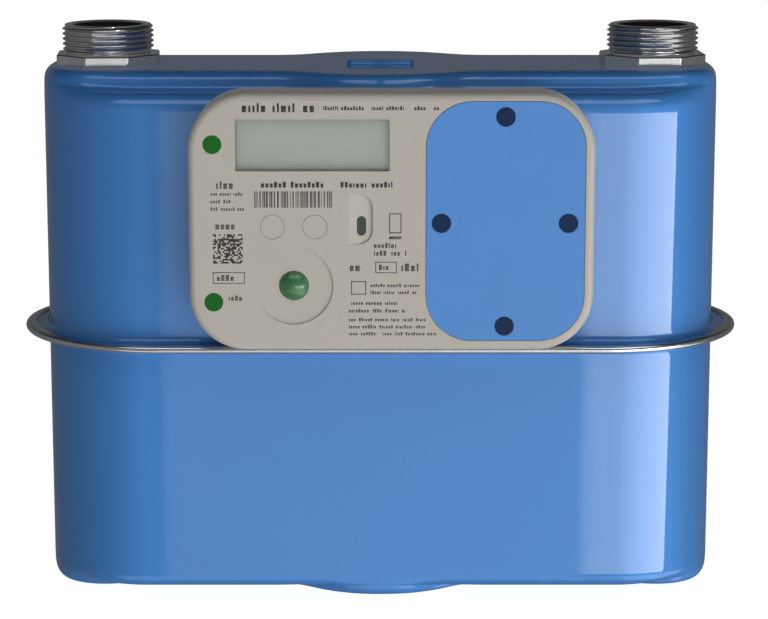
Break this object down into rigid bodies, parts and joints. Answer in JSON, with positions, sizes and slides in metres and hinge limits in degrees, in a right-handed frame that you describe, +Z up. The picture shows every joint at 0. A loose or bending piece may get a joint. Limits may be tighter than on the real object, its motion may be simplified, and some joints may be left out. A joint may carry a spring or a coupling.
{
  "type": "gas meter",
  "caption": "Domestic diaphragm gas meter: crimped two-part steel case, threaded nipples on top, flat electronic index with display, buttons and battery cover on the front.",
  "frame": {"origin": "centre of the flat base face of the lower case", "axes": "+X to the right along the long side, towards the outlet nipple; the index faces -Y; +Z up through the nipples"},
  "size_m": [0.331, 0.1514, 0.2572],
  "materials": {
    "case_paint": "glossy blue powder coat",
    "band_steel": "bright rolled steel",
    "nipple_steel": "bright plated steel",
    "plain_steel": "zinc plated",
    "rubber": "matt black rubber",
    "index_plastic": "fine moulded texture, warm grey",
    "cover_plastic": "fine moulded texture, blue",
    "screw_paint": "navy, satin",
    "seal_plastic": "green, matt",
    "green_dome": "dark green, glossy",
    "status_green": "dark green, glossy",
    "infrared_dark": "dark grey, glossy",
    "clear_window": "clear, smooth",
    "lcd": "grey green liquid-crystal glass",
    "board": "green solder mask",
    "black_plastic": "black, matt",
    "battery_sleeve": "shrink sleeve",
    "inner_plastic": "off-white moulding",
    "dark_moulding": "dark grey moulding",
    "diaphragm": "coated fabric",
    "aluminium": "pressed sheet",
    "magnet": "sintered magnet",
    "brass": "turned brass"
  },
  "bodies": {
    "case": {"upper_case": "case_paint", "lower_case": "case_paint", "seam_band": "band_steel", "case_gasket": "rubber", "inlet_nipple": "nipple_steel", "outlet_nipple": "nipple_steel", "index_mounting_plate": "plain_steel", "index_rear_housing": "index_plastic", "index_gasket": "rubber", "index_front_cover": "index_plastic", "display_window": "clear_window", "lcd_panel": "lcd", "lcd_holder": "black_plastic", "main_board": "board", "modem_board": "board", "board_header": "black_plastic", "antenna": "plain_steel", "pulse_sensor": "board", "tact_switches": "black_plastic", "status_lens": "status_green", "infrared_window": "infrared_dark", "seal_plugs": "seal_plastic", "index_screws": "plain_steel", "battery_cover": "cover_plastic", "battery_cover_seal": "rubber", "battery_cover_screws": "screw_paint", "battery_tray": "black_plastic", "metrology_battery": "battery_sleeve", "modem_batteries": "battery_sleeve", "measuring_body": "inner_plastic", "front_chamber_cover": "inner_plastic", "rear_chamber_cover": "inner_plastic", "front_diaphragm": "diaphragm", "rear_diaphragm": "diaphragm", "distributor_plate": "inner_plastic", "valve_seat": "dark_moulding", "crank_bush": "brass", "gear_bracket": "plain_steel", "outlet_duct": "inner_plastic", "outlet_tube": "inner_plastic", "outlet_seal": "rubber", "shutoff_body": "dark_moulding", "shutoff_motor": "plain_steel"},
    "left_button": {"left_button": "index_plastic"},
    "right_button": {"right_button": "index_plastic"},
    "wake_button": {"wake_button": "green_dome"},
    "crank": {"crank": "plain_steel", "crank_gear": "inner_plastic", "rotary_valve": "dark_moulding"},
    "magnet_wheel": {"magnet_gear": "inner_plastic", "coupling_magnet": "magnet"},
    "front_flag": {"front_flag_rod": "plain_steel", "front_flag_arm": "plain_steel"},
    "rear_flag": {"rear_flag_rod": "plain_steel", "rear_flag_arm": "plain_steel"},
    "front_plates": {"front_diaphragm_plates": "aluminium"},
    "rear_plates": {"rear_diaphragm_plates": "aluminium"},
    "front_link": {"front_link": "dark_moulding"},
    "rear_link": {"rear_link": "dark_moulding"},
    "shutoff_flap": {"shutoff_flap": "dark_moulding"}
  },
  "joints": [
    {"name": "left_button_press", "type": "slide", "parent": "case", "child": "left_button", "axis": [0, 1, 0], "range_m": [0, 0.0008], "stiffness_N_per_m": 1500, "springref_m": -0.0004},
    {"name": "right_button_press", "type": "slide", "parent": "case", "child": "right_button", "axis": [0, 1, 0], "range_m": [0, 0.0008], "stiffness_N_per_m": 1500, "springref_m": -0.0004},
    {"name": "wake_button_press", "type": "slide", "parent": "case", "child": "wake_button", "axis": [0, 1, 0], "range_m": [0, 0.001], "stiffness_N_per_m": 1500, "springref_m": -0.0004},
    {"name": "crank_turn", "type": "hinge", "parent": "case", "child": "crank", "pos_m": [0, 0, 0.118], "axis": [0, 0, 1], "continuous": true},
    {"name": "magnet_turn", "type": "hinge", "parent": "case", "child": "magnet_wheel", "pos_m": [0, -0.036, 0.126], "axis": [0, 0, 1], "continuous": true},
    {"name": "front_flag_swing", "type": "hinge", "parent": "case", "child": "front_flag", "pos_m": [-0.044, -0.012, 0.1], "axis": [0, 0, 1], "range_deg": [-9.5, 9.5]},
    {"name": "rear_flag_swing", "type": "hinge", "parent": "case", "child": "rear_flag", "pos_m": [0.044, 0.012, 0.1], "axis": [0, 0, 1], "range_deg": [-9.5, 9.5]},
    {"name": "front_plate_hinge", "type": "hinge", "parent": "front_flag", "child": "front_plates", "pos_m": [0, -0.012, 0.058], "axis": [0, 0, 1], "range_deg": [-9.5, 9.5]},
    {"name": "rear_plate_hinge", "type": "hinge", "parent": "rear_flag", "child": "rear_plates", "pos_m": [0, 0.012, 0.058], "axis": [0, 0, 1], "range_deg": [-9.5, 9.5]},
    {"name": "front_link_hinge", "type": "hinge", "parent": "front_flag", "child": "front_link", "pos_m": [-0.03683, 0.01132, 0.1337], "axis": [0, 0, 1], "range_deg": [-9.5, 9.5]},
    {"name": "rear_link_hinge", "type": "hinge", "parent": "rear_flag", "child": "rear_link", "pos_m": [0.02595, 0.02842, 0.1355], "axis": [0, 0, 1], "range_deg": [-9.5, 9.5]},
    {"name": "shutoff_flap_turn", "type": "hinge", "parent": "case", "child": "shutoff_flap", "pos_m": [-0.125, 0, 0.218], "axis": [0, 1, 0], "range_deg": [0, 90]}
  ],
  "couplings": [
    {"joint": "magnet_turn", "follows": "crank_turn", "ratio": -2},
    {"joint": "front_plate_hinge", "follows": "front_flag_swing", "ratio": -1},
    {"joint": "rear_plate_hinge", "follows": "rear_flag_swing", "ratio": -1},
    {"joint": "front_link_hinge", "follows": "front_flag_swing", "ratio": -1},
    {"joint": "rear_link_hinge", "follows": "rear_flag_swing", "ratio": -1}
  ]
}
